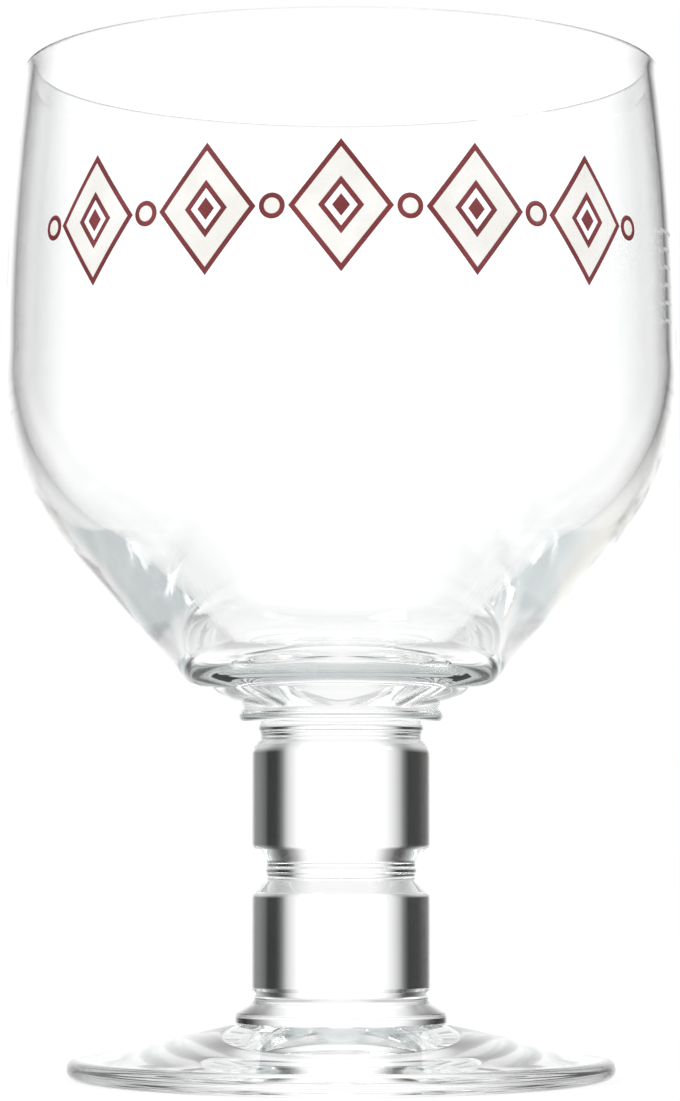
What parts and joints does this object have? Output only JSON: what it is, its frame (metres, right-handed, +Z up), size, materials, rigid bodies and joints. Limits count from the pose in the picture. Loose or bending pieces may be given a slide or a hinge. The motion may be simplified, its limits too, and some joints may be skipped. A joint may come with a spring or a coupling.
{
  "type": "chalice beer glass",
  "caption": "Stemmed chalice beer glass: thick round bowl, stem of two solid glass drums and a wide foot, with a printed lozenge band.",
  "frame": {"origin": "centre of the face that the foot rests on", "axes": "+Z up along the axis of the glass, the middle of the printed band faces -Y"},
  "size_m": [0.0992, 0.0993, 0.149],
  "materials": {
    "glass": "clear polished glass",
    "enamel_white": "fired white enamel",
    "enamel_red": "fired dark red enamel"
  },
  "bodies": {
    "root": {"bowl": "glass", "bowl_collar": "glass", "stem_neck": "glass", "upper_drum": "glass", "stem_waist": "glass", "lower_drum": "glass", "foot_collar": "glass", "foot": "glass", "print_fill": "enamel_white", "print_outline": "enamel_red", "fill_mark": "enamel_white"}
  },
  "joints": []
}
